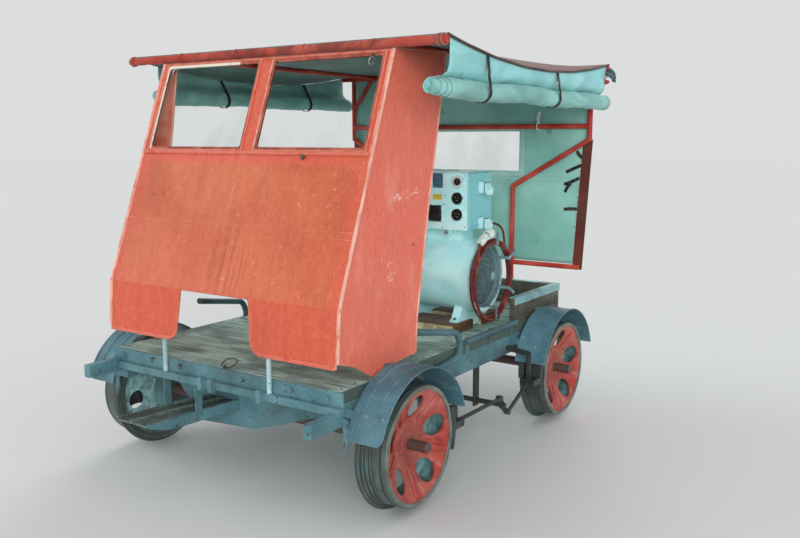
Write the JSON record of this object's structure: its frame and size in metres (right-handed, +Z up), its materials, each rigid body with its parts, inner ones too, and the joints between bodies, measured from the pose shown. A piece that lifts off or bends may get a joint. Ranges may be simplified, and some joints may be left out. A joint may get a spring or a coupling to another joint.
{
  "type": "rail maintenance trolley",
  "caption": "Small flanged-wheel rail trolley with a slanted sheet screen, canvas roof with rolled curtains, low tray and a generator set on its timber deck.",
  "frame": {"origin": "on the floor, under the middle of the wheelbase and the track; the wheel flanges stand at z = 0", "axes": "-Y towards the front end with the slanted screen, +X towards the generator's guard, +Z up"},
  "size_m": [1.7766, 2.368, 1.8355],
  "materials": {
    "frame_paint": "worn blue-grey paint",
    "pale_paint": "worn pale blue paint",
    "tube_blue": "worn blue-grey paint",
    "fender_paint": "matt blue-grey paint",
    "deck_wood": "weathered grey-green timber",
    "step_steel": "pressed sheet, worn and oily",
    "tray_wood": "bare brown timber",
    "bearer_wood": "brown timber with pale end grain",
    "cast_boxes": "painted casting",
    "spring_rubber": "black rubber",
    "screen_paint": "faded orange-red paint",
    "tube_paint": "red paint",
    "strip_paint": "dark red paint",
    "window_rubber": "aged pale putty and rubber",
    "clear_glass": "clear glass",
    "roof_cloth": "reddish-brown canvas, grey-green below",
    "curtain_cloth": "grey-green canvas",
    "wall_cloth": "grey-green canvas",
    "rim_cloth": "pale sewn rim",
    "strap_leather": "black strap",
    "set_paint": "pale blue-grey enamel",
    "guard_wire": "painted wire guard",
    "cable_rubber": "dark red-brown rubber cable",
    "plug_plastic": "grey plug",
    "brake_iron": "oily dark iron",
    "axle_steel": "rust-brown steel",
    "tyre_steel": "rolled steel, brown with age",
    "disc_paint": "worn red paint"
  },
  "bodies": {
    "frame": {"side_sills": "frame_paint", "cross_channels": "frame_paint", "end_beams": "frame_paint", "deck_planks": "deck_wood", "axle_boxes": "cast_boxes", "box_guides": "frame_paint", "box_springs": "spring_rubber", "guard_irons": "frame_paint", "front_screen": "screen_paint", "window_rubbers": "window_rubber", "window_panes": "clear_glass", "screen_posts": "pale_paint", "side_panels": "screen_paint", "roof_bars": "tube_paint", "roof_canvas": "roof_cloth", "side_curtains": "curtain_cloth", "curtain_straps": "strap_leather", "rear_frame": "tube_paint", "edge_strips": "strip_paint", "rear_wall": "wall_cloth", "rear_window_rim": "rim_cloth", "fenders": "fender_paint", "fender_stays": "frame_paint", "tray_boards": "tray_wood", "tray_rails": "pale_paint", "side_tubes": "tube_blue", "bearers": "bearer_wood", "generator_barrel": "set_paint", "generator_guard": "guard_wire", "control_box": "set_paint", "cable_coil": "cable_rubber", "cable_tails": "cable_rubber", "cable_plug": "plug_plastic", "brake_shoes": "brake_iron", "brake_hangers": "brake_iron", "brake_shaft": "brake_iron", "brake_rods": "brake_iron", "step_slats": "step_steel", "step_irons": "frame_paint", "shield_plate": "frame_paint"},
    "front_wheelset": {"front_axle": "axle_steel", "front_tyres": "tyre_steel", "front_wheel_discs": "disc_paint"},
    "rear_wheelset": {"rear_axle": "axle_steel", "rear_tyres": "tyre_steel", "rear_wheel_discs": "disc_paint"}
  },
  "joints": [
    {"name": "front_wheels_roll", "type": "hinge", "parent": "frame", "child": "front_wheelset", "pos_m": [0, -0.691, 0.27], "axis": [1, 0, 0], "continuous": true},
    {"name": "rear_wheels_roll", "type": "hinge", "parent": "frame", "child": "rear_wheelset", "pos_m": [0, 0.691, 0.27], "axis": [1, 0, 0], "continuous": true}
  ]
}
